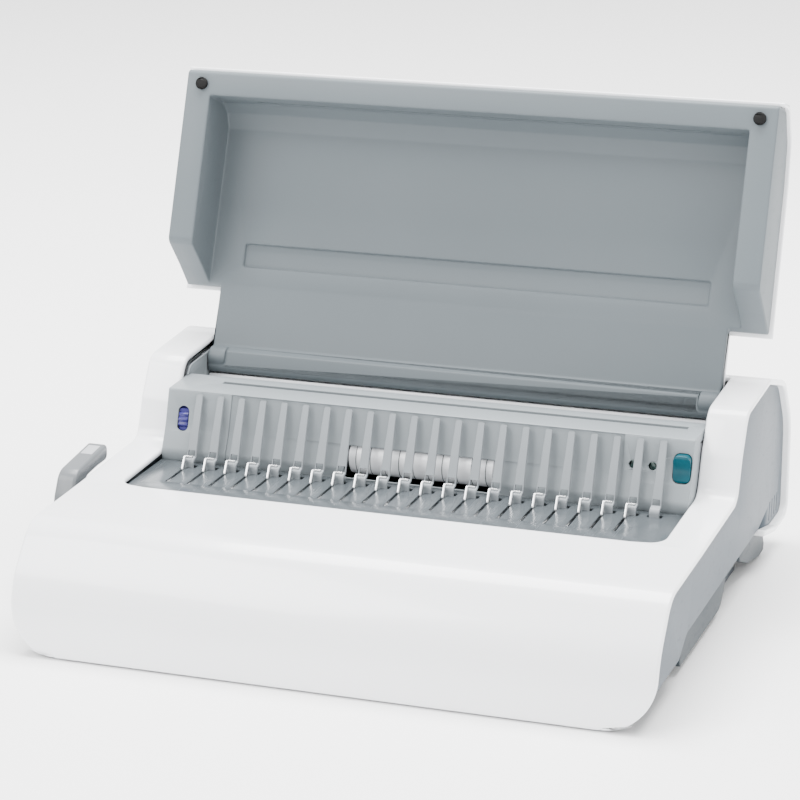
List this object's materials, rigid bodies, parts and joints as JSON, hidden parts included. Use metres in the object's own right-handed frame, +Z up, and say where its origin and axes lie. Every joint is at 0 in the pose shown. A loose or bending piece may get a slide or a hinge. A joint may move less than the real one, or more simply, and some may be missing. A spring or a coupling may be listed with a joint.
{
  "type": "comb binding machine",
  "caption": "Electric comb binding machine with a hinged lid, punching slot, comb tines and hooks, side lever, punch button and pull-out chip tray.",
  "frame": {"origin": "on the table plane, under the middle of the whole machine's bounding box with the lid open", "axes": "+X along the comb to the machine's right, +Y to the rear, +Z up"},
  "size_m": [0.41, 0.3442, 0.2976],
  "materials": {
    "white_gloss": "gloss",
    "panel_grey": "fine satin texture",
    "base_grey": "fine satin texture",
    "black_rubber": "matt",
    "deck_grey": "semi-gloss",
    "light_grey": "satin",
    "tine_silver": "fine texture paint",
    "bright_steel": "polished",
    "steel": "plain",
    "lever_grey": "satin",
    "pad_grey": "matt",
    "brass": "plain",
    "motor_black": "satin",
    "wheel_violet": "satin",
    "button_teal": "satin",
    "lamp_dark": "gloss",
    "board_green": "lacquer",
    "lid_grey": "fine satin texture"
  },
  "bodies": {
    "chassis": {"top_cover": "white_gloss", "side_panel_left": "panel_grey", "side_panel_right": "panel_grey", "base_shell": "base_grey", "rubber_feet": "black_rubber", "deck_plate": "deck_grey", "fascia": "light_grey", "rear_trough": "light_grey", "comb_tines": "tine_silver", "slider_guides": "steel", "side_frame_left": "steel", "side_frame_right": "steel", "shaft_bushes": "brass", "die_block": "steel", "drive_motor": "motor_black", "shaft_brackets": "steel", "button_switch": "motor_black", "lamp_lenses": "lamp_dark", "control_board": "board_green", "power_board": "board_green", "mains_inlet": "motor_black", "hinge_pins": "steel", "cover_screws": "steel"},
    "lid": {"lid_tray": "lid_grey", "lid_skin": "white_gloss", "lid_bumpers": "black_rubber"},
    "lever": {"comb_lever": "lever_grey", "lever_pad": "pad_grey", "lever_shaft": "steel", "lever_pinions": "brass"},
    "hooks": {"hook_slider": "bright_steel"},
    "cam_drive": {"cam_shaft": "steel", "punch_cams": "brass", "cam_gear": "brass"},
    "punches": {"punch_bar": "steel", "punch_pins": "bright_steel"},
    "motor_output": {"motor_pinion": "steel"},
    "guide_wheel": {"wheel_shaft": "steel", "thumbwheel": "wheel_violet"},
    "paper_stop": {"edge_guide": "base_grey"},
    "roller": {"roller_axle": "steel", "scale_roller": "white_gloss"},
    "button": {"punch_button": "button_teal"},
    "rocker": {"power_switch": "motor_black"},
    "chip_drawer": {"chip_tray": "base_grey"}
  },
  "joints": [
    {"name": "lid_hinge", "type": "hinge", "parent": "chassis", "child": "lid", "pos_m": [0.009, 0.08075, 0.115], "axis": [1, 0, 0], "range_deg": [0, 112]},
    {"name": "comb_lever_turn", "type": "hinge", "parent": "chassis", "child": "lever", "pos_m": [-0.1985, -0.05925, 0.045], "axis": [1, 0, 0], "range_deg": [0, 90]},
    {"name": "hook_slide", "type": "slide", "parent": "chassis", "child": "hooks", "axis": [0, -1, 0], "range_m": [0, 0.022]},
    {"name": "cam_turn", "type": "hinge", "parent": "chassis", "child": "cam_drive", "pos_m": [0.009, 0.08575, 0.066], "axis": [1, 0, 0], "range_deg": [0, 180.5]},
    {"name": "punch_slide", "type": "slide", "parent": "chassis", "child": "punches", "axis": [0, -1, 0], "range_m": [0, 0.008]},
    {"name": "motor_turn", "type": "hinge", "parent": "chassis", "child": "motor_output", "pos_m": [0.159, 0.10503, 0.04302], "axis": [1, 0, 0], "range_deg": [-730, 10]},
    {"name": "guide_wheel_turn", "type": "hinge", "parent": "chassis", "child": "guide_wheel", "pos_m": [-0.15, 0.02175, 0.0911], "axis": [1, 0, 0], "range_deg": [-180, 180]},
    {"name": "paper_stop_slide", "type": "slide", "parent": "chassis", "child": "paper_stop", "axis": [1, 0, 0], "range_m": [-0.00501, 0.00501]},
    {"name": "roller_turn", "type": "hinge", "parent": "chassis", "child": "roller", "pos_m": [0.009, 0.01725, 0.08], "axis": [1, 0, 0], "continuous": true},
    {"name": "button_press", "type": "slide", "parent": "chassis", "child": "button", "axis": [0, 1, 0], "range_m": [0, 0.002], "stiffness_N_per_m": 400, "springref_m": -0.002},
    {"name": "rocker_tilt", "type": "hinge", "parent": "chassis", "child": "rocker", "pos_m": [-0.087, 0.16425, 0.045], "axis": [1, 0, 0], "range_deg": [-14, 0]},
    {"name": "chip_drawer_slide", "type": "slide", "parent": "chassis", "child": "chip_drawer", "axis": [1, 0, 0], "range_m": [0, 0.18]}
  ],
  "couplings": [
    {"joint": "hook_slide", "follows": "comb_lever_turn", "m_per_rad": 0.014},
    {"joint": "cam_turn", "follows": "punch_slide", "rad_per_m": 392.7},
    {"joint": "motor_turn", "follows": "punch_slide", "rad_per_m": -1570.8},
    {"joint": "paper_stop_slide", "follows": "guide_wheel_turn", "m_per_rad": 0.0015915}
  ]
}
